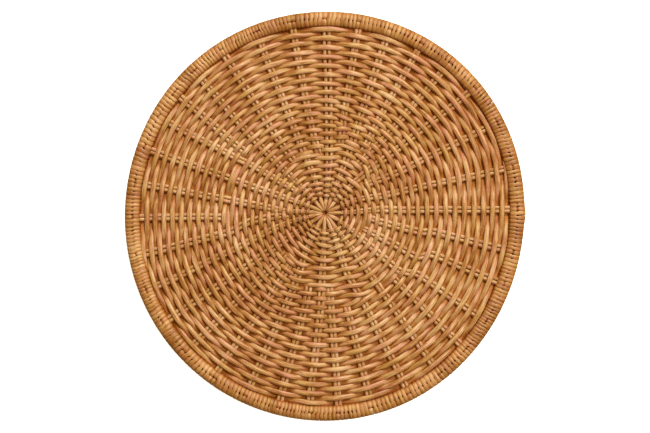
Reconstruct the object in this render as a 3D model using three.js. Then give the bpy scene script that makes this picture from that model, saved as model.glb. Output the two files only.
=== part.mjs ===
// Round rattan placemat: a woven disc of cane, held all round by a lashed rim.
//
// Millimetres, +Z up. The mat lies flat on z = 0 with the middle of its outline over the origin.
// The two pieces are turned about +Z as if the mat were a true circle, and then each is drawn out
// to the slightly oval, hand-made outline. They stay a small gap apart, and the disc is held by a
// tongue, the layer of its spokes, which runs into a groove in the rim. In the middle the spokes
// lie bare, as a star, so the disc is thinner there.

import * as THREE from 'three';

// ---- Driving dimensions ----

const meanRadius = 187.6; // outer edge of the rim, on average
const outlineLobes = [ // how far the outer edge swells from the mean, and where it swells most
  { count: 2, swell: 2.37, angleDeg: 80 },
  { count: 3, swell: 0.65, angleDeg: 36 },
  { count: 4, swell: 0.34, angleDeg: 34 },
];

const rimWidth = 14.7; // across the rim, from its outer edge to the weave
const rimHeight = 11.0; // from the table to the crest of the rim
const footWidth = 6.4; // the flat that the rim stands on
const rimCorners = 14; // corners of the rounded part of the rim's section

const weaveThickness = 8.2; // over the weavers that cross above and below one spoke
const starThickness = 4.2; // where the bare spokes meet
const starRadius = 13.5; // from the middle of the star to the first row of weaving
const starSlope = 1.5; // how far the first row's round side reaches in over the star
const starOffset = { x: 0.3, y: 1.7 }; // the star sits a little off the middle of the mat
const tongueThickness = 3.0; // one layer of spokes
const tongueLength = 6.0; // how far the spokes run on past the last row of weaving

const gap = 0.3; // between the two pieces
const sides = 96; // facets round the mat

// ---- Worked out from them ----

const midHeight = rimHeight / 2;
const rimInnerRadius = meanRadius - rimWidth;
const weaveRadius = rimInnerRadius - gap;

// The outer edge's distance from the middle, in the direction of an angle in radians.
function outlineRadius(angle) {
  const swells = outlineLobes.map(
    ({ count, swell, angleDeg }) => swell * Math.cos(count * (angle - THREE.MathUtils.degToRad(angleDeg))),
  );
  return meanRadius + swells.reduce((sum, swell) => sum + swell, 0);
}

// The rim's section as [radius, height], from the lower lip of the groove round the outside to
// the upper lip, and then back along the groove.
function rimSection() {
  const grooveHalf = tongueThickness / 2 + gap;
  const grooveRadius = weaveRadius + tongueLength + gap;
  const middle = meanRadius - rimWidth / 2;

  // The section is an oval whose bottom is cut off by the table, at the width of the foot.
  const halfWidth = rimWidth / 2;
  const footRise = Math.sqrt(1 - (footWidth / rimWidth) ** 2);
  const halfHeight = rimHeight / (1 + footRise);
  const centreHeight = rimHeight - halfHeight;
  const ovalPoint = (angle) => [
    middle + halfWidth * Math.cos(angle),
    centreHeight + halfHeight * Math.sin(angle),
  ];
  const lipAngle = (height) => Math.PI - Math.asin((height - centreHeight) / halfHeight);

  const footAngle = -Math.asin(footRise);
  const upperLip = lipAngle(midHeight + grooveHalf);
  const lowerLip = lipAngle(midHeight - grooveHalf) - 2 * Math.PI;
  const innerFoot = -Math.PI - footAngle;

  const arc = (from, to, steps) => Array.from(
    { length: steps + 1 },
    (_, i) => ovalPoint(from + ((to - from) * i) / steps),
  );
  return [
    ...arc(lowerLip, innerFoot, 3),
    ...arc(footAngle, upperLip, rimCorners),
    [grooveRadius, midHeight + grooveHalf],
    [grooveRadius, midHeight - grooveHalf],
  ];
}

// The woven disc's section, from the axis out along its underside and back over its top.
function weaveSection() {
  const tongueRadius = weaveRadius + tongueLength;
  const underside = [
    [0, starThickness],
    [starRadius, starThickness],
    [starRadius + starSlope, weaveThickness],
    [weaveRadius, weaveThickness],
    [weaveRadius, tongueThickness],
    [tongueRadius, tongueThickness],
  ];
  const top = [...underside].reverse();
  return [
    ...underside.map(([radius, thickness]) => [radius, midHeight - thickness / 2]),
    ...top.map(([radius, thickness]) => [radius, midHeight + thickness / 2]),
  ];
}

// Turns a section about +Z. A section that isn't on the axis closes on its own first point.
function turned(section) {
  const points = section.map(([radius, height]) => new THREE.Vector2(radius, height));
  if (section[0][0] > 0) points.push(points[0].clone());
  const geometry = new THREE.LatheGeometry(points, sides);
  geometry.rotateX(Math.PI / 2);
  return geometry;
}

// Draws a turned piece out to the outline: the edge moves by the outline's own swell, and what
// lies nearer the middle moves less with the swell and more with the star.
function drawnOut(geometry) {
  const position = geometry.attributes.position;
  for (let i = 0; i < position.count; i += 1) {
    const x = position.getX(i);
    const y = position.getY(i);
    const radius = Math.hypot(x, y);
    const swell = outlineRadius(Math.atan2(y, x)) - meanRadius;
    const share = Math.min(1, radius / weaveRadius);
    const stretch = radius > 0 ? (radius + swell * share) / radius : 1;
    position.setXY(
      i,
      x * stretch + starOffset.x * (1 - share),
      y * stretch + starOffset.y * (1 - share),
    );
  }
  geometry.computeVertexNormals();
  return geometry;
}

// ---- The two pieces ----

// The disc of cane: pairs of spokes, with weavers laid over and under them in a spiral.
function wovenDisc() {
  const cane = new THREE.MeshStandardMaterial({ color: 0xb47b47, roughness: 0.55, metalness: 0 });
  const disc = new THREE.Mesh(drawnOut(turned(weaveSection())), cane);
  disc.name = 'woven_disc';
  return disc;
}

// The rim: its lashing of cane, wound side by side round the ends of the spokes.
function lashedRim() {
  const lashing = new THREE.MeshStandardMaterial({ color: 0xb87d47, roughness: 0.5, metalness: 0 });
  const rim = new THREE.Mesh(drawnOut(turned(rimSection())), lashing);
  rim.name = 'lashed_rim';
  return rim;
}

// ---- The mat, with the middle of its outline over the origin ----

const placemat = new THREE.Group();
placemat.add(wovenDisc(), lashedRim());
const middle = new THREE.Box3().setFromObject(placemat).getCenter(new THREE.Vector3());
placemat.position.set(-middle.x, -middle.y, 0);

export default placemat;
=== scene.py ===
import math

import bpy
import numpy as np
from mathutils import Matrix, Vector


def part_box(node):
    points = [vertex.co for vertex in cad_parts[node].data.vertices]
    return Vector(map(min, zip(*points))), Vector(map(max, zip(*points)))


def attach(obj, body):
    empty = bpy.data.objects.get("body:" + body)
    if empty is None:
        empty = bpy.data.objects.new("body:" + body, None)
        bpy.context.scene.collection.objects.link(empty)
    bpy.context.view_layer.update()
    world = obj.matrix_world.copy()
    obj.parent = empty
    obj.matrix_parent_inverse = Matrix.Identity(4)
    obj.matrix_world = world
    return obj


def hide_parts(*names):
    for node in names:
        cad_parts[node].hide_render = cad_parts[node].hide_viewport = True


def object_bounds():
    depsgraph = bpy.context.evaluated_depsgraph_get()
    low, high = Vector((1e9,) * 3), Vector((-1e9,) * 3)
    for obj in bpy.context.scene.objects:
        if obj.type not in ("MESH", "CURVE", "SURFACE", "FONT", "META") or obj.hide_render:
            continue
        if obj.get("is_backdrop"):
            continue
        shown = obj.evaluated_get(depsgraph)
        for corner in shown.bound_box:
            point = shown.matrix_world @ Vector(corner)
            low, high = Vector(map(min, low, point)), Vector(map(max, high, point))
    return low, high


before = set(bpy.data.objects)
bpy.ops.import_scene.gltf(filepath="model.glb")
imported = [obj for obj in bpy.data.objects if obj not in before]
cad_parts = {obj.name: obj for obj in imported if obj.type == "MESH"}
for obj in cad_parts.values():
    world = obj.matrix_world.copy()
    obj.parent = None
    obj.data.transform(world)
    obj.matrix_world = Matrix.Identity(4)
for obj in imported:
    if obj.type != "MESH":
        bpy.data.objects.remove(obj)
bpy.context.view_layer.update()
discLow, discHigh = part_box("woven_disc")
rimLow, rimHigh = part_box("lashed_rim")
dice = np.random.default_rng(34)

mm = 0.001  # the plans below are in millimetres, the meshes in metres
fullTurn = 2 * math.pi
midHeight = (discLow.z + discHigh.z) / 2 / mm  # the layer the spokes lie in
rimMiddle = ((rimLow.x + rimHigh.x) / 2 / mm, (rimLow.y + rimHigh.y) / 2 / mm)
print("frame loaded, mid height", round(midHeight, 2), "mm")

# The mat is laid out as a true circle and then drawn out to its uneven, hand-made edge.
outline = {
    "meanRadius": 187.6,  # outer edge of the rim, on average
    "lobes": ((2, 2.37, 80), (3, 0.65, 36), (4, 0.34, 34)),  # how many, how high, and where in degrees
    "weaveRadius": 172.6,  # from here outwards the whole swell is given
    "star": (0.1, 2.3),  # how far the star sits off the middle
    "sides": 96,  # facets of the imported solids
}


def swellAt(angle):
    return sum(high * np.cos(count * (angle - math.radians(way))) for count, high, way in outline["lobes"])


cadAngles = np.arange(outline["sides"]) * fullTurn / outline["sides"]
cadReach = outline["meanRadius"] + swellAt(cadAngles)
cadX, cadY = cadReach * np.cos(cadAngles), cadReach * np.sin(cadAngles)
shift = (  # from the circle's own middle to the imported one
    rimMiddle[0] - (cadX.min() + cadX.max()) / 2,
    rimMiddle[1] - (cadY.min() + cadY.max()) / 2,
)


def drawnOut(radius, angle, height):
    share = np.minimum(1, radius / outline["weaveRadius"])
    reach = radius + swellAt(angle) * share
    x = reach * np.cos(angle) + outline["star"][0] * (1 - share) + shift[0]
    y = reach * np.sin(angle) + outline["star"][1] * (1 - share) + shift[1]
    return np.stack([x, y, height + 0 * x], axis=-1) * mm


def unit(vectors):
    return vectors / np.maximum(np.linalg.norm(vectors, axis=-1, keepdims=True), 1e-12)


def outwards(radius, angle, height):
    return unit(drawnOut(radius + 0.5, angle, height) - drawnOut(radius - 0.5, angle, height))


def sidewards(radius, angle, height):
    step = 0.5 / np.maximum(radius, 1)
    return unit(drawnOut(radius, angle + step, height) - drawnOut(radius, angle - step, height))


def ease(t):  # from 0 to 1, with soft ends
    t = np.clip(t, 0, 1)
    return t * t * (3 - 2 * t)


def blended(first, second, share):
    return first + (second - first) * share


def angleBetween(first, second):  # the short way round, from -pi to pi
    return (first - second + math.pi) % fullTurn - math.pi


# A strand is a tube of rings along a line, and a bundle of strands is joined into one mesh.
# Each strand's grain starts at a seed of its own, so that no two look alike.
seeds = {"weavers": 0, "shortRows": 90, "spokes": 100, "rays": 300, "lower": 340, "wraps": 400}
# For the bake the strands' skins are laid out flat, in rows of one length.
layout = {
    "spareLength": 1.02, "gap": 0.002,  # in a row, and in metres between two strands
    "margin": 1.01,  # the layout's width against a row's length
    "below": 0.04, "strip": 0.92,  # shares of a row's height
    "capCorner": 0.999,  # the ends of the strands share one corner
}


class Bundle:
    def __init__(self, sides):
        self.sides = sides
        self.points, self.faces, self.lengths = [], [], []
        self.grain, self.tone, self.sunk = [], [], []
        self.count = 0

    # box under 1 makes the section squarer than an oval; the depth given last is how deep the strand lies,
    # and sets how much painted shade it gets
    def lay(self, line, sideways, width, thick, tone, seed, box=1.0, roll=0.0, sunk=0.0):
        rings, sides = len(line), self.sides
        along = np.concatenate([[0], np.cumsum(np.linalg.norm(np.diff(line, axis=0), axis=1))])
        tangent = unit(np.gradient(line, axis=0))
        side = unit(sideways - (sideways * tangent).sum(1)[:, None] * tangent)
        up = np.cross(side, tangent)
        turn = -math.pi / 2 + np.arange(sides) * fullTurn / sides  # from the underside round
        across = np.sign(np.cos(turn)) * np.abs(np.cos(turn)) ** box
        above = np.sign(np.sin(turn)) * np.abs(np.sin(turn)) ** box * np.ones((rings, 1))
        wide = across * np.broadcast_to(width, rings)[:, None] / 2 * mm
        tall = above * np.broadcast_to(thick, rings)[:, None] / 2 * mm
        roll = np.broadcast_to(roll, rings)[:, None]
        wide, tall = wide * np.cos(roll) - tall * np.sin(roll), wide * np.sin(roll) + tall * np.cos(roll)
        points = line[:, None] + side[:, None] * wide[..., None] + up[:, None] * tall[..., None]
        ring, spot = np.meshgrid(np.arange(rings - 1), np.arange(sides), indexing="ij")
        after = (spot + 1) % sides
        faces = np.stack([ring * sides + spot, (ring + 1) * sides + spot,
                          (ring + 1) * sides + after, ring * sides + after], axis=-1)
        depth = np.broadcast_to(sunk, rings)[:, None] * np.clip(above * 3, -1, 1)  # seen from the face's side
        # where a point lies in its strand: along it, across it and above its middle
        grain = np.stack([along[:, None] + 0 * wide + seed, wide, tall], axis=-1)
        self.points.append(points.reshape(-1, 3))
        self.faces.append(faces.reshape(-1, 4) + self.count)
        self.lengths.append(along)
        self.grain.append(grain.reshape(-1, 3))
        self.tone.append(np.repeat(np.broadcast_to(tone, rings), sides))
        self.sunk.append(depth.ravel())
        self.count += rings * sides

    def flatCorners(self, girth):  # where each corner of the tubes' faces lies in the flat layout
        total = sum(along[-1] for along in self.lengths)
        rows = max(1, math.ceil(math.sqrt(total / (girth * mm))))
        rowLength = total / rows * layout["spareLength"]
        stretches, row, here = [], 0, 0.0
        for along in self.lengths:
            for step in np.diff(along):
                if here + step > rowLength:
                    row, here = row + 1, 0.0
                stretches.append((here, here + step, row))
                here += step
            here += layout["gap"]
        begin, end, row = np.repeat(np.array(stretches), self.sides, axis=0).T
        spot = np.tile(np.arange(self.sides), len(stretches))
        rows = row[-1] + 1
        low = (row + layout["below"] + layout["strip"] * spot / self.sides) / rows
        high = (row + layout["below"] + layout["strip"] * (spot + 1) / self.sides) / rows
        begin, end = begin / (rowLength * layout["margin"]), end / (rowLength * layout["margin"])
        return np.stack([begin, low, end, low, end, high, begin, high], axis=1).reshape(-1, 2)

    def mesh(self, name, material, girth):  # girth is how far it is round a strand
        caps, first = [], 0
        for along in self.lengths:
            last = first + (len(along) - 1) * self.sides
            caps.append(list(range(first, first + self.sides)))
            caps.append(list(range(last, last + self.sides))[::-1])
            first = last + self.sides
        data = bpy.data.meshes.new(name)
        data.from_pydata(np.concatenate(self.points).tolist(), [], np.concatenate(self.faces).tolist() + caps)
        flat = self.flatCorners(girth)
        corners = np.full((len(data.loops), 2), layout["capCorner"], np.float32)
        corners[:len(flat)] = flat
        layer = data.uv_layers.new(name="OFBake")
        layer.uv.foreach_set("vector", corners.ravel())
        grain = data.attributes.new("grain", "FLOAT_VECTOR", "POINT")
        grain.data.foreach_set("vector", np.concatenate(self.grain).astype(np.float32).ravel())
        for label, values in (("tone", self.tone), ("sunk", self.sunk)):
            layer = data.attributes.new(label, "FLOAT", "POINT")
            layer.data.foreach_set("value", np.concatenate(values).astype(np.float32))
        data.polygons.foreach_set("use_smooth", np.ones(len(data.polygons), bool))
        data.validate()
        data.materials.append(material)
        piece = bpy.data.objects.new(name, data)
        bpy.context.scene.collection.objects.link(piece)
        total = sum(along[-1] for along in self.lengths)
        triangles = sum(len(face.vertices) - 2 for face in data.polygons)
        print(name, len(self.lengths), "strands,", round(total, 2), "m,", triangles, "triangles")
        return piece


class Wire:  # a socket that can be reckoned with
    def __init__(self, tree, socket):
        self.tree, self.socket = tree, socket

    def reckon(self, operation, first, second):
        node = self.tree.nodes.new("ShaderNodeMath")
        node.operation = operation
        for slot, value in zip(node.inputs, (first, second)):
            if isinstance(value, Wire):
                self.tree.links.new(value.socket, slot)
            else:
                slot.default_value = value
        return Wire(self.tree, node.outputs[0])

    def __add__(self, other):
        return self.reckon("ADD", self, other)

    def __radd__(self, other):
        return self.reckon("ADD", other, self)

    def __sub__(self, other):
        return self.reckon("SUBTRACT", self, other)

    def __rsub__(self, other):
        return self.reckon("SUBTRACT", other, self)

    def __mul__(self, other):
        return self.reckon("MULTIPLY", self, other)

    def __rmul__(self, other):
        return self.reckon("MULTIPLY", other, self)


class Finish:  # a material and its nodes
    def __init__(self, name):
        self.material = bpy.data.materials.new(name)
        self.material.use_nodes = True
        self.tree = self.material.node_tree
        self.tree.nodes.clear()

    def add(self, kind, settings=None, sockets=None, out=0):
        node = self.tree.nodes.new(kind)
        for key, value in (settings or {}).items():
            if key == "stops":
                ramp = node.color_ramp
                while len(ramp.elements) < len(value):
                    ramp.elements.new(0.5)
                for element, (place, colour) in zip(ramp.elements, value):
                    element.position = place
                    element.color = (*colour, 1)
            else:
                setattr(node, key, value)
        for key, value in (sockets or {}).items():
            slot = next(s for s in node.inputs if s.enabled and key in (s.name, s.identifier))
            if isinstance(value, Wire):
                self.tree.links.new(value.socket, slot)
            else:
                slot.default_value = value
        found = node.outputs[out] if isinstance(out, int) else next(
            s for s in node.outputs if s.enabled and out in (s.name, s.identifier))
        return Wire(self.tree, found)

    def close(self, shader):
        node = self.tree.nodes.new("ShaderNodeOutputMaterial")
        self.tree.links.new(shader.socket, node.inputs["Surface"])
        return self.material

    def noise(self, vector, scale, detail=2.0, rough=0.5):
        stretched = self.add("ShaderNodeVectorMath", {"operation": "MULTIPLY"}, {
            "Vector": vector, "Vector_001": scale})
        return self.add("ShaderNodeTexNoise", {"noise_dimensions": "3D"}, {
            "Vector": stretched, "Scale": 1.0, "Detail": detail, "Roughness": rough}, "Fac")

    def ramp(self, value, stops):
        return self.add("ShaderNodeValToRGB", {"stops": stops}, {"Fac": value}, "Color")

    def mix(self, amount, first, second, blend="MIX"):
        return self.add("ShaderNodeMix", {"data_type": "RGBA", "blend_type": blend, "clamp_factor": True}, {
            "Factor_Float": amount, "A_Color": first, "B_Color": second}, "Result_Color")

    def blendTowards(self, amount, base, tint):  # towards another colour
        return self.mix(amount, base, (*tint, 1))

    def deepen(self, amount, base, tint):  # towards the same colour times a tint
        return self.mix(amount, base, self.mix(1.0, base, (*tint, 1), "MULTIPLY"))

    def span(self, value, nothing, full, most):  # 0 at one value, the most at the other, softly in between
        return self.add("ShaderNodeMapRange", {"interpolation_type": "SMOOTHSTEP"}, {
            "Value": value, "From Min": nothing, "From Max": full, "To Min": 0, "To Max": most}, "Result")

    def inMillimetres(self, vector, axis):  # how far it goes along one axis, either way
        part = self.add("ShaderNodeSeparateXYZ", None, {"Vector": vector}, axis)
        return self.add("ShaderNodeMath", {"operation": "ABSOLUTE"}, {"Value": part * 1000})


grainScale = {  # how many changes to a metre, along a strand and then across it
    "blotch": (60, 120, 120),  # changes of shade along a strand
    "fleck": (80, 700, 700),  # streaks a millimetre or two wide
    "fibre": (60, 2400, 2400),  # the fine lengthwise grain
    "hue": (60, 380, 380),  # pinkish and olive stretches
    "spot": (200, 750, 750),  # dark specks
    "patch": (26, 26, 26),  # broad patches that take in several strands
}
reliefDepth = 0.3 * mm


def caneFinish(name, look):
    nodes = Finish(name)
    grain = nodes.add("ShaderNodeAttribute", {"attribute_name": "grain"}, None, "Vector")
    tone = nodes.add("ShaderNodeAttribute", {"attribute_name": "tone"}, None, "Fac")
    sunk = nodes.add("ShaderNodeAttribute", {"attribute_name": "sunk"}, None, "Fac")
    blotch = nodes.noise(grain, grainScale["blotch"])
    fleck = nodes.noise(grain, grainScale["fleck"], detail=3, rough=0.65)
    fibre = nodes.noise(grain, grainScale["fibre"], detail=3, rough=0.6)
    patch = nodes.noise(nodes.add("ShaderNodeTexCoord", None, None, "Object"), grainScale["patch"])
    hue = nodes.noise(grain, grainScale["hue"])
    spot = nodes.noise(grain, grainScale["spot"])

    shade = tone * look["perStrand"] + (blotch - 0.5) * look["blotch"] + (fleck - 0.5) * look["fleck"]
    base = nodes.ramp(shade + (patch - 0.5) * look["patch"] + 0.5, look["tones"])
    base = nodes.blendTowards(nodes.span(hue, *look["pink"]), base, look["pinkTint"])
    base = nodes.blendTowards(nodes.span(hue, *look["olive"]), base, look["oliveTint"])
    base = nodes.deepen(nodes.span(fibre, *look["streak"]), base, look["streakTint"])
    base = nodes.blendTowards(nodes.span(spot, *look["spots"]), base, look["spotTint"])
    # painted shade: the strands are drawn redder and darker along their flanks and where they lie deep in the
    # weave, where shade falls; the deepest places are drawn a warm orange, as painted bounce light
    base = nodes.deepen(nodes.span(nodes.inMillimetres(grain, "Z"), *look["flank"]), base, look["flankShadeTint"])
    deepest = sunk * (1 + nodes.inMillimetres(grain, "Y") * look["edges"])  # the painted shade counts deeper at the strand's two edges
    valleyShade = nodes.span(deepest, *look["valleyShade"])
    base = nodes.deepen(valleyShade, base, look["valleyShadeTint"])
    base = nodes.blendTowards(nodes.span(sunk, *look["pit"]), base, look["paintedPitTint"])

    evenly, byFleck, byValley = look["rough"]
    rough = evenly + (fleck - 0.5) * byFleck + valleyShade * byValley
    relief = fibre * look["relief"][0] + fleck * look["relief"][1]
    normal = nodes.add("ShaderNodeBump", None, {
        "Strength": look["bump"], "Distance": reliefDepth, "Height": relief}, "Normal")
    return nodes.close(nodes.add("ShaderNodeBsdfPrincipled", None, {
        "Base Color": base, "Roughness": rough, "Normal": normal, "Specular IOR Level": look["gloss"],
        "Coat Weight": (1 - valleyShade) * look["coat"], "Coat Roughness": look["coatRough"]}, "BSDF"))


# where an effect has three numbers, they are where it begins, where it is full, and how strong it is
caneLook = {
    "tones": ((0.0, (0.29, 0.115, 0.019)), (0.35, (0.38, 0.172, 0.044)),
              (0.6, (0.47, 0.247, 0.086)), (1.0, (0.59, 0.40, 0.21))),
    "perStrand": 0.40, "blotch": 0.5, "fleck": 3.3, "patch": 1.7,  # how far each one changes the shade
    "pink": (0.52, 0.63, 0.5), "pinkTint": (0.53, 0.235, 0.155),
    "olive": (0.48, 0.37, 0.5), "oliveTint": (0.51, 0.33, 0.10),
    "streak": (0.40, 0.62, 0.6), "streakTint": (0.72, 0.54, 0.32),
    "spots": (0.65, 0.72, 0.65), "spotTint": (0.19, 0.055, 0.02),
    "flank": (1.0, 0.1, 0.4), "flankShadeTint": (0.80, 0.46, 0.17),  # painted shade along the flanks, by mm above or below the strand's middle
    "valleyShade": (0.2, 3.3, 1.0), "valleyShadeTint": (0.92, 0.64, 0.36),  # painted shade where the strand lies deep, by mm of depth
    "edges": 0.1,  # how much deeper the painted shade counts for each mm from the strand's middle
    # painted bounce light: the deepest places are drawn a warm orange
    "pit": (2.6, 4.6, 1.0), "paintedPitTint": (0.65, 0.25, 0.045),
    "rough": (0.5, 0.25, 0.2),  # all over, more or less with the flecks, and more in the valleys
    "relief": (0.6, 0.5), "bump": 0.9,  # from the grain and from the flecks
    "gloss": 0.14, "coat": 0.38, "coatRough": 0.43,  # the coat is thinned under the painted valley shade, so less gloss shows where the strand lies deep
}
lashLook = {
    **caneLook,
    "tones": ((0.0, (0.27, 0.100, 0.013)), (0.35, (0.385, 0.166, 0.036)),
              (0.6, (0.485, 0.243, 0.072)), (1.0, (0.62, 0.40, 0.18))),
    "fleck": 1.6,
    "pink": (0.52, 0.63, 0.3),
    "streak": (0.40, 0.62, 0.5),
    # painted shade: the wraps are drawn much darker along their flanks, darkening the lines between them
    "flank": (0.665, 0.3, 1.0), "flankShadeTint": (0.45, 0.18, 0.03),
    # painted shade where a wrap lies deep, in the notches and low on the inner side
    "valleyShadeTint": (0.58, 0.31, 0.10),
    # painted bounce light, warm orange in the deepest places
    "pit": (3.1, 5.0, 1.0),
    "coat": 0.55,
}
rayLook = {**caneLook, "pit": (2.4, 4.4, 1.0), "paintedPitTint": (0.20, 0.075, 0.02)}  # painted shade, darker down in the middle of the star
cane = caneFinish("cane", caneLook)
lashCane = caneFinish("lashing_cane", lashLook)
rayCane = caneFinish("ray_cane", rayLook)
print("cane finishes made")

rimEntry = 172  # the radius where the spokes go into the rim

# Each pair of spokes: its way at the rim in degrees, the row radius it starts at, where 0 is the star,
# and its bends on the way out, as radius and degrees.
spokePlan = (
    (1.2, 0, ((11, 1), (51, 4.2), (74, 2.2))),
    (13.9, 0, ((11, 24.5), (30, 23), (42, 20), (53, 17), (74, 15.8))),
    (27.9, 46, ((38, 36.5), (48, 34.3), (63, 30.4), (80, 29))),
    (40, 0, ((11, 49), (57, 44.5), (69, 42.7), (90, 41.4))),
    (50.4, 46, ((50, 57), (62, 55), (74, 53), (90, 51.3))),
    (60.3, 65, ((66, 58.5), (82, 59.1), (100, 60.3))),
    (70.6, 0, ((11, 67.5), (53, 68.5), (69, 68.5), (86, 69.8))),
    (79.7, 65, ((64, 77.3), (90, 79))),
    (89.5, 0, ((11, 85), (56, 86), (74, 87.3), (107, 88.3))),
    (99.9, 56.5, ((57, 96.5), (73, 98.5), (95, 99.6))),
    (110.7, 0, ((11, 106), (30, 107), (50, 108.4), (70, 110))),
    (122.4, 56.5, ((56, 121), (80, 122.5))),
    (132.8, 0, ((11, 131.5), (70, 133.8), (93, 134))),
    (141.3, 93, ((102, 142.5),)),
    (149.8, 34, ((35, 142), (54, 145.5), (79, 146.5), (96, 148.1))),
    (160.2, 0, ((11, 156), (30, 158.4), (60, 159.8))),
    (171, 0, ((11, 176), (37, 177.5), (51, 174.5), (70, 173), (93, 172))),
    (181.4, 93, ((83, 183), (110, 181.6))),
    (192.6, 34, ((38, 183), (56, 184.5), (72, 186.5), (90, 191.3))),
    (203.4, 0, ((11, 192), (33, 194.3), (49, 197), (66, 199.4), (87, 201.6))),
    (214.2, 0, ((11, 214),)),
    (225, 46, ((53, 225.5),)),
    (235.8, 46, ((42, 233), (60, 236), (90, 236.8))),
    (246.6, 0, ((11, 241), (39, 243), (52, 246), (75, 247.3))),
    (256.5, 65, ((56, 257), (80, 258))),
    (265.5, 0, ((11, 266.4), (46, 267.5), (79, 267.5))),
    (274, 65, ((74, 273.7),)),
    (283.5, 82, ((70, 283),)),
    (294.8, 0, ((11, 291.6), (42, 290.5), (54, 289.3), (69, 291.5), (88, 293.5))),
    (305.5, 0, ((11, 306), (46, 307.2), (70, 306.5))),
    (315.9, 82, ((94, 316.5),)),
    (326.2, 0, ((11, 331), (40, 326), (62, 323), (88, 322), (102, 326.8))),
    (338.4, 39, ((44, 338), (60, 336.5), (83, 335), (96, 334.3), (106, 339.2))),
    (348.7, 39, ((33, 357), (44, 353.5), (52, 351), (70, 349.5), (93, 348.8), (102, 350.4))),
)
bending = {
    "straightFrom": 0.75,  # of the way from the last bend to the rim
    "blurred": 15,  # mm over which a bend is rounded
    "longest": 181,
}
radii = np.arange(0, float(bending["longest"]))
blur = np.hanning(bending["blurred"])
blur /= blur.sum()
starX, starY = outline["star"]


def spokePath(rim, bends):
    last = bends[-1][0]
    spots = [spot for spot, _ in bends] + [last + (rimEntry - last) * bending["straightFrom"], rimEntry]
    ways = [way for _, way in bends] + [rim, rim]
    way = np.radians(np.interp(radii, spots, ways))
    way = np.convolve(np.pad(way, bending["blurred"] // 2, mode="edge"), blur, mode="valid")
    return way + (starY * np.cos(way) - starX * np.sin(way)) / outline["weaveRadius"]


spokeWays = [spokePath(rim, bends) for rim, _, bends in spokePlan]
starts = [start for _, start, _ in spokePlan]


def wayOf(k, radius):
    return np.interp(radius, radii, spokeWays[k])


# The weavers: two strands chase each other round, each over every second pair of spokes.
weave = {
    "rows": 40,  # on the side with the fewest
    "firstRow": 15.3, "lastRow": 170.8,  # radius of the first row's strand and of the last one's
    # how the spacing grows: at which row, and how far apart against the others
    "pitch": ((0, 2.1), (4, 2.8), (7, 3.45), (11, 4.0), (20, 4.15), (28, 4.25), (39, 4.4)),
    "tight": 2.0, "loose": 6.2,  # for its width, rows count as no closer and no further apart than this
    "fine": (2.1, 2.0),  # spacing where the strands are finest, and how much more it is where they are full
    "width": 4.5,  # over a spoke
    "broaden": (0.4, 60, 90),  # how much more than that near the rim, from which radius, over how many mm
    "starWidth": 3.5,  # over a spoke, in the first rows
    "underWidth": 5.6, "spread": 1.36,  # under a spoke: at least, and as a share of the rows' spacing
    "waist": 1.08,  # halfway between two spokes, as a share of the rows' spacing
    "hold": 1.3,  # the larger this is, the shorter the wide stretches over and under the spokes
    "thick": 2.7, "starThick": 0.75,  # and the first rows' share of it
    "swing": 2.75, "starSwing": 1.15,  # how far it rises over a spoke and dips under the next, and that share
    "sides": 8, "box": 0.75, "girth": 13,
    "wander": (0.225, 6, 5),  # how far a row strays from its circle, fading over the first and the last rows
    "ease": (4.35, 20, 17),  # how far a weaver's end eases the rows out, from which row, over how many
    "draw": (1.0, 5),  # how far its beginning draws them in, and over how many rows
    "start": 20,  # the way the first weaver sets off, in degrees; the second sets off opposite
    "step": (2.2, 8, 13),  # mm from ring to ring, and the fewest and the most of them between two spokes
    "rim": 173.2, "rimWidth": 4.8,  # the last rows fit against this radius, but are at least this wide
    "level": (171.4, 2, 0.6),  # from here outwards, over so many mm, the swing loses this share
    "tip": 12, "tipSink": 2.3,  # mm over which an end thins, and how deep it is tucked
    "tipWidth": 0.8, "tipThick": 0.45, "tipSwing": 0.1,  # what is left of each at the very end
    "uneven": (9.0, 0.03, 0.04, 0.12),  # mm between changes, of width, of thickness, and of place in mm
    "roll": 0.07,
    "piece": (500, 1500),  # mm of strand between two splices
    "shade": (0.3, 0.8, 13.0),  # how much it changes from piece to piece, and along one, every so many mm
    "sunk": (1.25, 0.25, 0.9),  # for the painted shade, its depth counts this much in the first rows, less further out, plus this
}
shortRows = (  # extra pairs of rows that run only part of the way round
    {"row": 9.6, "from": 44, "to": 253, "spread": 17},
    {"row": 17.8, "from": 80, "to": 293, "spread": 14},
)
fanning = 0.12  # how much longer the ends of the extra rows are felt, for each row further out
gathers = (  # where a spoke is bare for two rows, so the rows are beaten closer: degrees, radius, pull
    (43, 49, 1.1),
    (68.5, 63, 1.1),
    (108.5, 54, 1.1),
    (158.5, 32, 0.9),
    (160, 90, 1.1),
    (267.5, 64, 1.1),
    (293, 82, 1.1),
)
gatherSize = {"across": 5, "beside": 8, "slope": 0.325}  # how far it is felt, in mm, and how strongly
wanderWaves = [(waves, dice.uniform(-1, 1), dice.uniform(0, fullTurn), dice.uniform(0.05, 0.35))
               for waves in (2, 3, 4, 5, 7, 9)]
chaseStart = math.radians(weave["start"])


def window(short, angle, beyond=0.0):  # 0 where the extra rows are absent, 1 where they run, with soft ends
    begin, long = math.radians(short["from"]), math.radians(short["to"] - short["from"])
    soft = math.radians(short["spread"]) * (1 + fanning * beyond)
    gone = (angle - begin + math.pi - long / 2) % fullTurn - (math.pi - long / 2)  # since where they begin
    return ease(gone / soft + 0.5) * ease((long - gone) / soft + 0.5), gone


def packed(rows, angle):  # the row's place counted with the extra rows, and how many there are here
    place, count = rows + 0.0 * angle, weave["rows"] - 1.0
    for short in shortRows:
        gone = window(short, angle)[1]
        lane = rows - gone / math.pi  # stays the same along a strand
        here = window(short, angle, np.maximum(lane - short["row"], 0))[0]
        place = place + 2 * here * (lane > short["row"])
        count = count + 2 * here
    return place, count


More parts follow.
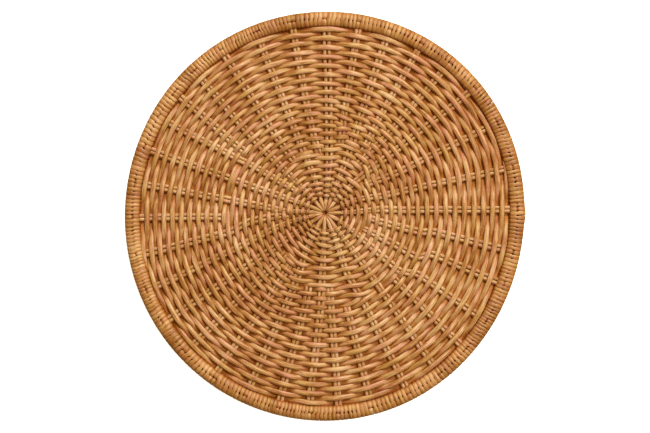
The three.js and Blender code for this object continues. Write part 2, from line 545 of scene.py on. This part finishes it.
rowMarks = np.arange(-1, weave["rows"] + 2, 0.25)  # the radius of each quarter of a row
rowReach = np.cumsum(np.interp(rowMarks, *zip(*weave["pitch"])))
rowReach -= np.interp(0, rowMarks, rowReach)
rowReach *= (weave["lastRow"] - weave["firstRow"]) / np.interp(weave["rows"] - 1, rowMarks, rowReach)
rowReach += weave["firstRow"]


def rowRadius(rows, angle, extra=None):
    place, count = packed(rows, angle)
    if extra:
        place = place + extra(angle)
    radius = np.interp(place / count * (weave["rows"] - 1), rowMarks, rowReach)
    # the rows ease outwards where a weaver comes to its end at the rim, and inwards where one begins;
    # turned goes from 0 to 1 from one weaver's beginning to the other's
    turned = (angle - chaseStart) % math.pi / math.pi
    late = np.where(turned > 0.9, 0.1 + 0.9 * ease((turned - 0.9) / 0.1), 1 - turned)
    early = ease((turned - 0.5) / 0.3) * ease((1 - turned) / 0.2)
    out, fromRow, overRows = weave["ease"]
    radius = radius + out * late * ease((rows - fromRow) / overRows)
    inwards, overRows = weave["draw"]
    radius = radius - inwards * early * ease((overRows - rows) / overRows)
    for way, spot, pull in gathers:
        off = radius - spot
        beside = angleBetween(angle, math.radians(way)) * spot
        fade = np.exp(-(off / gatherSize["across"]) ** 2 - (beside / gatherSize["beside"]) ** 2)
        radius = radius - pull * gatherSize["slope"] * off * fade
    stray = sum(far * np.cos(n * angle + phase + speed * rows) for n, far, phase, speed in wanderWaves)
    wander, first, last = weave["wander"]
    return radius + wander * stray * ease(rows / first) * ease((weave["rows"] - 1 - rows) / last)


def spacing(rows, angle, extra=None):
    part = 0.2
    return (rowRadius(rows + part, angle, extra) - rowRadius(rows - part, angle, extra)) / (2 * part)


def running(k, rowsAt, lap):  # whether the strand meets this pair of spokes yet, on this lap
    near = 4  # pairs that start together and lie this near are met together
    mates = [j for j, start in enumerate(starts) if start == starts[k] and abs(j - k) <= near]
    middle = np.mean([wayOf(j, starts[k]) for j in mates])
    return not starts[k] or rowRadius(rowsAt(fullTurn * lap + middle), middle) >= starts[k]


# where a strand meets the spokes, as its turn so far, 1 where it goes over and -1 under, and which spoke
def crossed(which, start, end, rowsAt, extra=None):
    firstGuess, rounds = 60, 5  # the turn depends on the radius there, and the radius on the turn
    stops = []
    for lap in range(-1, int(end / fullTurn) + 2):
        active = [k for k in range(len(spokePlan)) if running(k, rowsAt, lap)]
        for order, k in enumerate(active):
            turned = fullTurn * lap + wayOf(k, firstGuess)
            for _ in range(rounds):
                turned = fullTurn * lap + wayOf(k, rowRadius(rowsAt(turned), turned, extra))
            if start <= turned <= end:
                stops.append((turned, 1 if (order + which) % 2 == 0 else -1, k))
    return stops


def ringsOf(stops, rowsAt, extra):  # from stop to stop, each ring's turn so far and its phase in the swing
    every, fewest, most = weave["step"]
    turned, phase = [], []
    for (here, sign, _), (there, _, _) in zip(stops[:-1], stops[1:]):
        radius = rowRadius(rowsAt(here), here, extra)
        steps = int(np.clip(round((there - here) * radius / every), fewest, most))
        t = np.arange(steps) / steps
        turned.append(here + (there - here) * t)
        phase.append(np.where(sign > 0, 0, math.pi) + math.pi * t)
    return np.concatenate(turned), np.concatenate(phase)


def splicedTone(path):  # a weaver is spliced every metre or so, and each length has its own shade
    byPiece, along, every = weave["shade"]
    cuts = [0.0]
    while cuts[-1] < path[-1]:
        cuts.append(cuts[-1] + dice.uniform(*weave["piece"]))
    shades = dice.uniform(-0.5, 0.5, len(cuts))
    piece = np.searchsorted(cuts, path, side="right") - 1
    knots = np.arange(0, path[-1] + 40, every)
    return shades[piece] * byPiece + np.interp(path, knots, dice.normal(0, 0.5, len(knots))) * along


crossings = [[] for _ in spokePlan]  # for each pair of spokes: at which radius, and 1 over or -1 under
weavers = Bundle(weave["sides"])


def layWeaver(which, start, end, rowsAt, seed, extra=None):
    stops = crossed(which, start, end, rowsAt, extra)
    for here, sign, k in stops:
        crossings[k].append((float(rowRadius(rowsAt(here), here, extra)), sign))
    before = (2 * stops[0][0] - stops[1][0], -stops[0][1], None)
    beyond = (2 * stops[-1][0] - stops[-2][0], -stops[-1][1], None)
    turned, phase = ringsOf([before, *stops, beyond], rowsAt, extra)
    inside = (turned >= start) & (turned <= end)
    turned, phase = turned[inside], phase[inside]
    rows = rowsAt(turned)
    radius = rowRadius(rows, turned, extra)
    apart = np.clip(spacing(rows, turned, extra), weave["tight"], weave["loose"])
    path = np.concatenate([[0], np.cumsum(np.hypot(np.diff(radius), radius[1:] * np.diff(turned)))])
    every, widthJitter, thickJitter, placeJitter = weave["uneven"]
    knots = np.arange(0, path[-1] + 20, every)
    jitter = np.interp(path, knots, dice.normal(0, 1, len(knots)))
    jitterUp = np.interp(path, knots, dice.normal(0, 1, len(knots)))
    # an end is tucked away: it thins, sinks and stops rising over the spokes
    tip = np.minimum(ease(path / weave["tip"]), ease((path[-1] - path) / weave["tip"]))
    finest, overMore = weave["fine"]
    full = np.clip((apart - finest) / overMore, 0, 1)  # finer strands are used near the star
    broaden, fromRadius, overRadius = weave["broaden"]
    over = weave["width"] + broaden * ease((radius - fromRadius) / overRadius)
    under = np.maximum(weave["underWidth"], weave["spread"] * apart)  # no gaps left open to the table
    widest = blended(weave["starWidth"], np.where(np.cos(phase) > 0, over, under), full)
    width = blended(weave["waist"] * apart, widest, np.abs(np.cos(phase)) ** weave["hold"])
    width = width * (1 + widthJitter * jitter) * blended(weave["tipWidth"], 1, tip)
    width = np.minimum(width, np.maximum(2 * (weave["rim"] - radius), weave["rimWidth"]))
    thick = weave["thick"] * blended(weave["starThick"], 1, full) * blended(weave["tipThick"], 1, tip)
    thick = thick * (1 + thickJitter * jitterUp)
    fromRadius, overRadius, lost = weave["level"]
    lift = np.cos(phase) * blended(weave["tipSwing"], 1, tip) * blended(weave["starSwing"], 1, full)
    lift = lift * (1 - lost * ease((radius - fromRadius) / overRadius))
    height = midHeight + weave["swing"] * lift
    height = height + placeJitter * jitterUp - weave["tipSink"] * (1 - tip)
    radius = radius + placeJitter * jitter
    atStar, less, level = weave["sunk"]
    weavers.lay(drawnOut(radius, turned, height), outwards(radius, turned, height), width, thick,
                splicedTone(path), seed, box=weave["box"], roll=weave["roll"] * jitter,
                sunk=(midHeight - height) * (atStar - less * full) + level)


def laneFrom(begin, first=0.0):  # a strand drifts out by one row in half a turn, as there are two of them
    return lambda turned: first + (turned - begin) / math.pi


def besideLane(short, begin):  # an extra strand keeps on the heels of the row inside
    first = (begin - chaseStart) / math.pi % 2 + 1
    return laneFrom(begin, first + 2 * math.floor((short["row"] - first) / 2))


def heelsOf(short, which):
    return lambda angle: (1 + which) * window(short, angle)[0]


for which in (0, 1):
    begin = chaseStart + which * math.pi
    seed = seeds["weavers"] + which * 40
    layWeaver(which, begin, begin + math.pi * (weave["rows"] - 1), laneFrom(begin), seed)
for number, short in enumerate(shortRows):
    begin, end = math.radians(short["from"]), math.radians(short["to"])
    tuck = math.radians(short["spread"] * 0.36)  # the ends reach this much further
    for which in (0, 1):
        seed = seeds["shortRows"] + number * 4 + which
        layWeaver(which, begin - tuck, end + tuck, besideLane(short, begin), seed, heelsOf(short, which))
weaverPiece = weavers.mesh("weavers", cane, weave["girth"])

# The spokes: pairs of thinner strands, pressed down and up by the rows.
spoke = {
    "width": 3.5, "apart": 3.25,  # of each strand, and from one of the pair to the other
    "taller": 0.05,  # than it is wide
    "starWidth": 2.3, "starApart": 1.6,  # where the pair is squeezed together near the star
    "widen": (15, 45),  # from which radius it widens and over how many mm
    "loose": (-0.2, 0.6),  # how much further apart a pair may lie
    "widePair": 8, "wider": 1.0,  # one pair, and how much further apart it lies
    "press": 0.42,  # how far a row presses the spoke down or up
    "begin": 14.0, "end": 177.6,  # radius where those from the star begin, and where all end in the rim
    "step": 1.4, "clear": 0.7,  # mm from ring to ring before the first row, and least left to that row
    "perRow": 3,  # rings from row to row
    "tuck": 5.8, "sink": 3.8,  # a later spoke begins this far inside its first row and this deep
    "rise": (1.8, 3.6),  # where it rises again, in mm from its beginning, and over how many
    "tip": (2.5, 0.4),  # mm over which the beginning tapers, and to what share
    "sway": 0.05, "rock": 0.06,  # sideways and up and down, in mm
    "shade": (-0.15, 0.35), "change": 0.15, "every": 15.0,  # from strand to strand, and along it in mm
    "sides": 8, "box": 0.75, "girth": 9,
}


def spokeRings(k, begin):  # the radius of each ring, and how far the rows press it up
    spots, signs = np.array(sorted(crossings[k])).T
    lead = np.arange(begin, spots[spots > begin][0] - spoke["clear"], spoke["step"])
    rows = [(here, there) for here, there in zip(spots[:-1], spots[1:]) if here > begin]
    between = [np.linspace(here, there, spoke["perRow"] + 1)[:-1] for here, there in rows]
    grid = np.concatenate([lead, *between, [spots[-1], spots[-1] + 2, spots[-1] + 4, spoke["end"]]])
    grid = np.unique(np.round(grid, 3))
    grid = grid[grid <= spoke["end"]]
    return grid, np.interp(grid, spots, -spoke["press"] * signs)


spokes = Bundle(spoke["sides"])
for k, start in enumerate(starts):
    begin = min(crossings[k])[0] - spoke["tuck"] if start else spoke["begin"]
    grid, press = spokeRings(k, begin)
    far = ease((grid - spoke["widen"][0]) / spoke["widen"][1])
    wide = blended(spoke["starWidth"], spoke["width"], far)
    loose = spoke["wider"] if k == spoke["widePair"] else dice.uniform(*spoke["loose"])
    apart = blended(spoke["starApart"], spoke["apart"] + loose, far)
    risen = ease((grid - begin - spoke["rise"][0]) / spoke["rise"][1]) if start else 1
    taper = blended(spoke["tip"][1], 1, ease((grid - begin) / spoke["tip"][0]))
    for hand in (-1, 1):
        way = wayOf(k, grid) + hand * (apart / 2 + dice.normal(0, spoke["sway"], len(grid))) / grid
        height = midHeight + press + dice.normal(0, spoke["rock"], len(grid)) - spoke["sink"] * (1 - risen)
        shade = dice.uniform(*spoke["shade"])
        knots = np.arange(0, 200, spoke["every"])
        shade = shade + np.interp(grid, knots, dice.normal(0, spoke["change"], len(knots)))
        spokes.lay(drawnOut(grid, way, height), -sidewards(grid, way, height), wide * taper,
                   (wide + spoke["taller"]) * taper, shade, seeds["spokes"] + k * 2 + hand, box=spoke["box"])
spokePiece = spokes.mesh("spokes", cane, spoke["girth"])

# The star: the bare ends of the spokes, tapering down into the middle, over a lower layer that closes it.
star = {
    "hole": 1.7, "reach": 15.5, "rings": 14,  # where a ray begins and where it goes under the first row
    "wayAt": 11,  # the radius where its way is taken from its spokes
    "width": 3.9, "overlap": 0.1,  # at most, and how much more than its share of the circle
    "shoulder": (0.1, 0.7, 0.3),  # its outer end is this much narrower, from this share of its length on
    "thick": 2.9,
    "crest": 0.9, "dip": 1.7,  # how high its middle rises, and how far its tip dips
    "lean": (12, 8),  # the rays are spread evenly inside this radius, and that change takes so many mm
    "uneven": (0.05, 0.12, 0.01),  # its width as a share, its height in mm, its way in radians
    "shade": (0.1, 0.7),
    "dark": (3.2, 1.6, 3.6),  # painted shade in the star's middle: inside this radius it counts as lying deep, over how many mm, and how deep
    "sides": 10, "girth": 9,
}
lower = {
    "hole": 0.25, "rings": 10,
    "width": 4.2, "overlap": 0.25,
    "thick": 2.0,
    "under": 2.3,  # how far below the spokes' layer
    "dip": (0.8, 5, 3),  # how much deeper, inside which radius, and over how many mm
    # its tone is darker, as painted shade under the rays
    "shade": -0.7,
    "sunk": 3.6, "dark": (4, 2, 1.4),  # its painted shade, all over, and how much more inside this radius
}
rays = Bundle(star["sides"])
rayWays = [wayOf(k, star["wayAt"]) for k, start in enumerate(starts) if not start]


def layRay(number, before, way, after):
    widthJitter, riseJitter, wayJitter = star["uneven"]
    grid = np.linspace(star["hole"], star["reach"], star["rings"])
    t = (grid - star["hole"]) / (star["reach"] - star["hole"])
    wide = (after - before) / 2 * grid + star["overlap"]
    wide = np.minimum(wide, star["width"] * (1 + dice.normal(0, widthJitter)))
    narrower, fromShare, overShare = star["shoulder"]
    wide = wide * (1 - narrower * ease((t - fromShare) / overShare))
    rise = star["crest"] * np.sin(np.clip(t * 1.2, 0, 1) * math.pi) + dice.normal(0, riseJitter)
    height = midHeight + rise - star["dip"] * ease((0.2 - t) / 0.2)
    lean = ((before + after) / 2 - way) / 2 * ease((star["lean"][0] - grid) / star["lean"][1])
    angle = way + dice.normal(0, wayJitter) + lean
    inside, soft, deep = star["dark"]
    rays.lay(drawnOut(grid, angle, height), -sidewards(grid, angle, height), wide,
             np.minimum(wide, star["thick"]), dice.uniform(*star["shade"]), seeds["rays"] + number,
             sunk=deep * ease((inside - grid) / soft))


def layLower(number, before, way, after):
    grid = np.linspace(lower["hole"], star["reach"], lower["rings"])
    wide = np.minimum((after - before) / 2 * grid + lower["overlap"], lower["width"])
    angle = (way + after) / 2 + 0 * grid
    dip, inside, soft = lower["dip"]
    height = midHeight - lower["under"] - dip * ease((inside - grid) / soft)
    inside, soft, deep = lower["dark"]
    rays.lay(drawnOut(grid, angle, height), -sidewards(grid, angle, height), wide,
             np.minimum(wide, lower["thick"]), lower["shade"], seeds["lower"] + number,
             sunk=lower["sunk"] + deep * ease((inside - grid) / soft))


for number, way in enumerate(rayWays):
    after = rayWays[(number + 1) % len(rayWays)] + (fullTurn if number + 1 == len(rayWays) else 0)
    before = rayWays[number - 1] - (fullTurn if number == 0 else 0)
    layRay(number, before, way, after)
    layLower(number, before, way, after)
rayPiece = rays.mesh("star_rays", rayCane, star["girth"])

# The rim: strands wound side by side round a core.
rim = {
    "wraps": 304, "strands": 19,  # in all, and how many strands share them
    "middle": 180.25, "halfWidth": 7.35, "foot": 6.4, "height": 11.0,
    "strand": 1.09, "box": 0.4,  # its width, as a share of the pitch, and how square its section is
    "thick": 1.35,
    "steps": 32,  # round one wrap
    "crest": 90,  # where a wrap jogs sideways, in degrees up from the outer side
    "crestSize": 0.017,  # how much of a wrap the jog takes
    # a slow change from wrap to wrap and a quick one: how big, over how many wraps, and how big
    "kink": (0.10, 9, 0.02),  # of the jog, as a share of the pitch
    "uneven": (0.12, 11, 0.06),  # of the pitch
    "pinch": (0.28, 0.16, 0.6),  # how much narrower a wrap is at the crest: on average, its spread, at most
    "notch": (0.62, 1.6, 0.3),  # this near a spoke, in pitches, a wrap is pressed in so deep, elsewhere less
    "bulge": (0.31, 0.035),  # wraps between changes of a strand's height, and their size
    "shade": (0.42, -0.15),  # how much it changes from wrap to wrap, and what is added all over
    "knot": (0.4, 1.0, 7),  # where the lashing ends and bulges: degrees, how far, over how many mm
    "sunk": (3.0, 1.3, 2.9),  # painted shade in a notch: how deep, and over how many jogs; and painted shade down at the inner side, where the rim meets the weave
    "innerSide": (9.3, 2.4),  # below this height, over how many mm
    "sides": 8, "girth": 10,
}
rimHalfHeight = rim["height"] / (1 + math.sqrt(1 - (rim["foot"] / 2 / rim["halfWidth"]) ** 2))
rimCentre = rim["height"] - rimHalfHeight


def drift(count, every, size):  # a slow random change along so many steps
    knots = np.arange(0, count + 2 * every, every)
    return np.interp(np.arange(count), knots, dice.normal(0, size, len(knots)))


def unevenly(slow, every, quick):  # a slow change and a quick one, from wrap to wrap
    return drift(rim["wraps"], every, slow) + dice.normal(0, quick, rim["wraps"])


pitches = 1 + unevenly(*rim["uneven"])
pitches = pitches / pitches.sum() * fullTurn
edges = np.concatenate([[0], np.cumsum(pitches)])
wrapMiddles = (edges[:-1] + edges[1:]) / 2
rimWays = np.array([wayOf(k, rimEntry) for k in range(len(spokePlan))]) % fullTurn
toSpoke = np.abs(angleBetween(wrapMiddles[:, None], rimWays[None])).min(1)
near, deep, shallow = rim["notch"]
notch = np.where(toSpoke < near * fullTurn / rim["wraps"], deep, dice.uniform(0, shallow, rim["wraps"]))
pinchMean, pinchSpread, pinchMost = rim["pinch"]
pinch = np.clip(dice.normal(pinchMean, pinchSpread, rim["wraps"]), 0.0, pinchMost)
shades = dice.normal(0, rim["shade"][0], rim["wraps"] + 1)
kinks = unevenly(*rim["kink"])


def layWraps(part):
    perStrand = rim["wraps"] // rim["strands"]
    turns = np.arange(0, perStrand * rim["steps"] + 1) / rim["steps"]  # since this strand began
    whole = part * perStrand + turns
    wrap = np.minimum(whole.astype(int), rim["wraps"] - 1)
    inTurn = whole - wrap
    section = -math.pi / 2 + inTurn * fullTurn  # the way round the core, from the table up the outer side
    # a wrap runs nearly straight over the rim, jogs at the crest, and steps on to the next one underneath
    nearCrest = (inTurn - 0.25 - rim["crest"] / 360) / rim["crestSize"]
    jog = kinks[wrap] * (1 - 2 / (1 + np.exp(-nearCrest))) * ease(inTurn / 0.12) * ease((1 - inTurn) / 0.12)
    step = 0.5 * ease(inTurn / 0.1) + 0.5 * ease((inTurn - 0.9) / 0.1)
    angle = edges[wrap] + pitches[wrap] * (step + jog)
    every, size = rim["bulge"]
    knots = np.arange(0, perStrand + 2, every)
    bulge = np.interp(turns, knots, dice.normal(0, size, len(knots)))
    bulge = bulge - notch[wrap] * np.exp(-nearCrest ** 2 / 2)
    way, far, over = rim["knot"]
    fromKnot = angleBetween(angle, math.radians(way)) * rim["middle"]
    outside = (0.5 + 0.5 * np.cos(section)) * (np.sin(section) > -0.9)  # most on the outer side, not below
    bulge = bulge + far * np.exp(-(fromKnot / over) ** 2) * outside
    inset = rim["thick"] / 2
    radius = rim["middle"] + (rim["halfWidth"] - inset + bulge) * np.cos(section)
    height = rimCentre + (rimHalfHeight - inset + bulge) * np.sin(section)
    height = np.maximum(height, inset + 0.03)
    width = rim["strand"] * pitches[wrap] * rim["middle"] * (1 - pinch[wrap] * np.exp(-nearCrest ** 2 / 2))
    shade = np.interp(whole, np.arange(rim["wraps"] + 1), shades) + rim["shade"][1]
    inNotch, overJogs, inside = rim["sunk"]
    highest, soft = rim["innerSide"]
    # painted shade in the deep notches, and low on the inner side next to the weave
    sunk = inNotch * np.exp(-(nearCrest / overJogs) ** 2) * (notch[wrap] > shallow)
    innerSide = (np.cos(section) < 0) * (np.sin(section) > -0.3)
    sunk = sunk + inside * ease((highest - height) / soft) * innerSide
    lashings.lay(drawnOut(radius, angle, height), sidewards(radius, angle, height), width, rim["thick"],
                 shade, seeds["wraps"] + part, box=rim["box"], sunk=sunk)


lashings = Bundle(rim["sides"])
for part in range(rim["strands"]):
    layWraps(part)
lashingPiece = lashings.mesh("lashing", lashCane, rim["girth"])

# The rim's core, coloured nearly black as painted shade between the wraps.
core = {
    "radius": 4.6, "flat": 0.72,  # and its height as a share of its width
    "around": 160, "sides": 14,
    # nearly black, as painted shade where the core shows between the wraps
    "tones": ((0.3, (0.10, 0.028, 0.005)), (0.7, (0.20, 0.065, 0.012))),
    "scale": (200, 200, 200),
    "rough": (0.7, 0.2), "bump": 0.3, "gloss": 0.1,
}


def coreFinish():
    nodes = Finish("core")
    shade = nodes.noise(nodes.add("ShaderNodeTexCoord", None, None, "Object"), core["scale"], detail=3)
    normal = nodes.add("ShaderNodeBump", None, {
        "Strength": core["bump"], "Distance": reliefDepth, "Height": shade}, "Normal")
    evenly, byShade = core["rough"]
    return nodes.close(nodes.add("ShaderNodeBsdfPrincipled", None, {
        "Base Color": nodes.ramp(shade, core["tones"]), "Roughness": evenly + shade * byShade,
        "Normal": normal, "Specular IOR Level": core["gloss"]}, "BSDF"))


bpy.ops.object.select_all(action="DESELECT")
bpy.ops.mesh.primitive_torus_add(
    major_radius=rim["middle"] * mm, minor_radius=core["radius"] * mm,
    major_segments=core["around"], minor_segments=core["sides"], location=(0, 0, 0))
corePiece = bpy.context.object
corePiece.name = corePiece.data.name = "rim_core"
bpy.ops.object.mode_set(mode="EDIT")
bpy.ops.mesh.select_all(action="SELECT")
bpy.ops.transform.resize(value=(1, 1, core["flat"]))
bpy.ops.transform.translate(value=(0, 0, rimCentre * mm))
bpy.ops.object.mode_set(mode="OBJECT")
spots = np.zeros(len(corePiece.data.vertices) * 3)
corePiece.data.vertices.foreach_get("co", spots)
x, y, height = spots.reshape(-1, 3).T / mm
corePiece.data.vertices.foreach_set("co", drawnOut(np.hypot(x, y), np.arctan2(y, x), height).ravel())
bpy.ops.object.shade_smooth()
corePiece.data.materials.append(coreFinish())
print("rim_core made")

for piece in (weaverPiece, spokePiece, rayPiece, lashingPiece, corePiece):
    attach(piece, "root")
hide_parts("woven_disc")
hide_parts("lashed_rim")
print("pieces declared")

# The floor is a lit table, except where the mat covers it.
floor = {
    "size": 8,
    "tones": ((0, (0.90, 0.90, 0.90)), (1, (0.92, 0.92, 0.92))), "scale": (3, 3, 3),
    "rough": 0.8,
    "glow": (0.172, 0.186, 0.9),  # from which radius, where it is full, and how strong
}


def floorFinish():
    nodes = Finish("floor_paint")
    place = nodes.add("ShaderNodeTexCoord", None, None, "Object")
    away = nodes.add("ShaderNodeVectorMath", {"operation": "LENGTH"}, {"Vector": place}, "Value")
    glow = nodes.mix(nodes.span(away, *floor["glow"]), (0, 0, 0, 1), (1, 1, 1, 1))
    base = nodes.ramp(nodes.noise(place, floor["scale"]), floor["tones"])
    return nodes.close(nodes.add("ShaderNodeBsdfPrincipled", None, {
        "Base Color": base, "Roughness": floor["rough"],
        "Emission Color": glow, "Emission Strength": 1.0}, "BSDF"))


bpy.ops.object.select_all(action="DESELECT")
bpy.ops.mesh.primitive_plane_add(size=floor["size"], location=(0, 0, 0))
floorPiece = bpy.context.object
floorPiece.name = "floor"
floorPiece.data.materials.append(floorFinish())
floorPiece.visible_diffuse = False
floorPiece.visible_glossy = False
floorPiece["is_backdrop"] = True

studio = {
    "surround": (1, 0.67, 0.27), "strength": 0.42,
    "lamps": (
        {"name": "key", "way": 76, "high": 44, "far": 4.0, "size": 1.5, "power": 168},
        {"name": "side", "way": 15, "high": 55, "far": 4.0, "size": 1.5, "power": 74},
    ),
}
world = bpy.data.worlds.new("studio")
bpy.context.scene.world = world
world.use_nodes = True
world.node_tree.nodes["Background"].inputs["Color"].default_value = (*studio["surround"], 1)
world.node_tree.nodes["Background"].inputs["Strength"].default_value = studio["strength"]
for lamp in studio["lamps"]:
    data = bpy.data.lights.new(lamp["name"], "AREA")
    data.shape = "DISK"
    data.size, data.energy = lamp["size"], lamp["power"]
    piece = bpy.data.objects.new(lamp["name"], data)
    bpy.context.scene.collection.objects.link(piece)
    way, high = math.radians(lamp["way"]), math.radians(lamp["high"])
    beside = lamp["far"] * math.cos(high)
    piece.location = (beside * math.cos(way), beside * math.sin(way), lamp["far"] * math.sin(high))
    piece.rotation_euler = (math.pi / 2 - high, 0, way + math.pi / 2)

view = {
    "lens": 100, "sensor": 36,
    "across": 0.6017,  # metres that the camera takes in from side to side, halfway up the mat
    "middle": (0.00027, -0.00030), "level": 0.0055,  # what it is aimed at, and how high that is
}
camera = bpy.data.objects.new("camera", bpy.data.cameras.new("camera"))
bpy.context.scene.collection.objects.link(camera)
camera.data.lens = view["lens"]
camera.data.sensor_width = view["sensor"]
camera.location = (*view["middle"], view["across"] * view["lens"] / view["sensor"] + view["level"])
bpy.context.scene.camera = camera
bpy.context.scene.view_settings.view_transform = "Standard"
print("floor, lamps and camera set")

low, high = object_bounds()
print("done")
